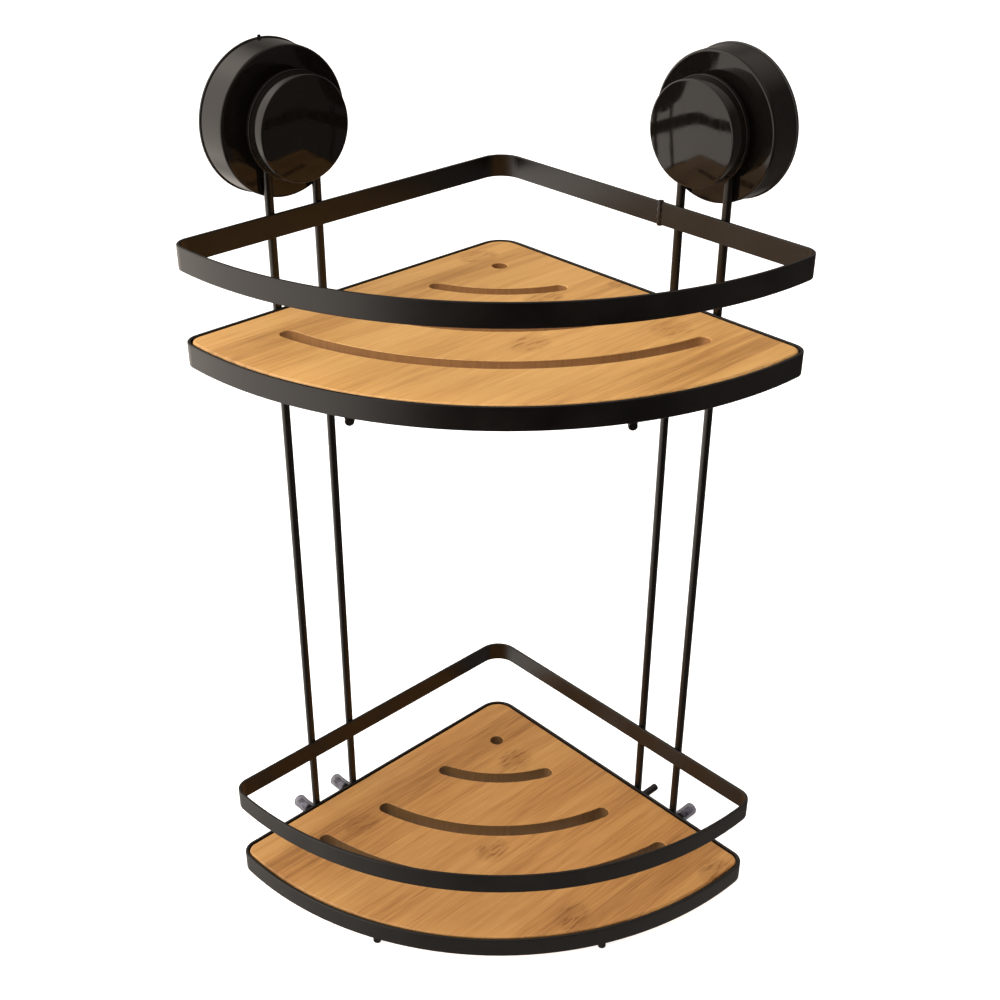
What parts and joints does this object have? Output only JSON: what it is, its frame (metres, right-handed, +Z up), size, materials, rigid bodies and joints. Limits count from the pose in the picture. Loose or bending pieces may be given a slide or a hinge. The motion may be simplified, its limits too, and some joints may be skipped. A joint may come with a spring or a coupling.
{
  "type": "shower caddy",
  "caption": "Corner shower caddy: quarter-round trays with bamboo boards and rails on hairpin wires, held by twist-lock suction cups.",
  "frame": {"origin": "middle of the bounding box on the plane that the rods and the rubber bumpers can stand on", "axes": "+X to the right as a user faces the corner, +Y into the corner of the room, +Z up"},
  "size_m": [0.296, 0.2132, 0.4775],
  "materials": {
    "powder_coat": "satin black powder coat with a fine grain",
    "bamboo": "laminated bamboo, straight grain parallel to the left wall side, sanded and oiled, routed slots darker",
    "gloss_black_plastic": "high gloss moulded black",
    "matte_black_plastic": "plain moulded black",
    "soft_black_sheet": "soft black elastomer, smooth sealing side",
    "clear_grey_rubber": "cloudy grey soft rubber",
    "plated_steel": "zinc plated",
    "white_nylon": "natural white, smooth",
    "brass": "machined"
  },
  "bodies": {
    "rack": {"lower_tray_frame": "powder_coat", "lower_gallery_rail": "powder_coat", "lower_left_rod": "powder_coat", "lower_right_rod": "powder_coat", "upper_tray_frame": "powder_coat", "upper_gallery_rail": "powder_coat", "upper_left_rod": "powder_coat", "upper_right_rod": "powder_coat", "left_hanger_wire": "powder_coat", "left_housing_base": "matte_black_plastic", "left_housing_cover": "gloss_black_plastic", "right_hanger_wire": "powder_coat", "right_housing_base": "matte_black_plastic", "right_housing_cover": "gloss_black_plastic", "left_inner_bumper": "clear_grey_rubber", "left_outer_bumper": "clear_grey_rubber", "right_outer_bumper": "clear_grey_rubber"},
    "left_knob": {"left_knob_body": "gloss_black_plastic", "left_knob_cap": "gloss_black_plastic", "left_knob_nut": "brass", "left_thrust_washer": "white_nylon"},
    "left_cup": {"left_suction_sheet": "soft_black_sheet", "left_draw_stud": "plated_steel"},
    "right_knob": {"right_knob_body": "gloss_black_plastic", "right_knob_cap": "gloss_black_plastic", "right_knob_nut": "brass", "right_thrust_washer": "white_nylon"},
    "right_cup": {"right_suction_sheet": "soft_black_sheet", "right_draw_stud": "plated_steel"},
    "lower_board": {"lower_bamboo_board": "bamboo"},
    "upper_board": {"upper_bamboo_board": "bamboo"}
  },
  "joints": [
    {"name": "left_knob_twist", "type": "hinge", "parent": "rack", "child": "left_knob", "pos_m": [-0.0997, 0.0127, 0.43865], "axis": [0.7071, -0.7071, 0], "range_deg": [0, 90]},
    {"name": "left_sheet_release", "type": "slide", "parent": "rack", "child": "left_cup", "axis": [-0.7071, 0.7071, 0], "range_m": [0, 0.003]},
    {"name": "right_knob_twist", "type": "hinge", "parent": "rack", "child": "right_knob", "pos_m": [0.0997, 0.0127, 0.43865], "axis": [-0.7071, -0.7071, 0], "range_deg": [0, 90]},
    {"name": "right_sheet_release", "type": "slide", "parent": "rack", "child": "right_cup", "axis": [0.7071, 0.7071, 0], "range_m": [0, 0.003]},
    {"name": "lower_board_lift", "type": "slide", "parent": "rack", "child": "lower_board", "axis": [0, 0, 1], "range_m": [0, 0.064]},
    {"name": "upper_board_lift", "type": "slide", "parent": "rack", "child": "upper_board", "axis": [0, 0, 1], "range_m": [0, 0.064]}
  ],
  "couplings": [
    {"joint": "left_sheet_release", "follows": "left_knob_twist", "m_per_rad": 0.0019098},
    {"joint": "right_sheet_release", "follows": "right_knob_twist", "m_per_rad": 0.0019098}
  ]
}
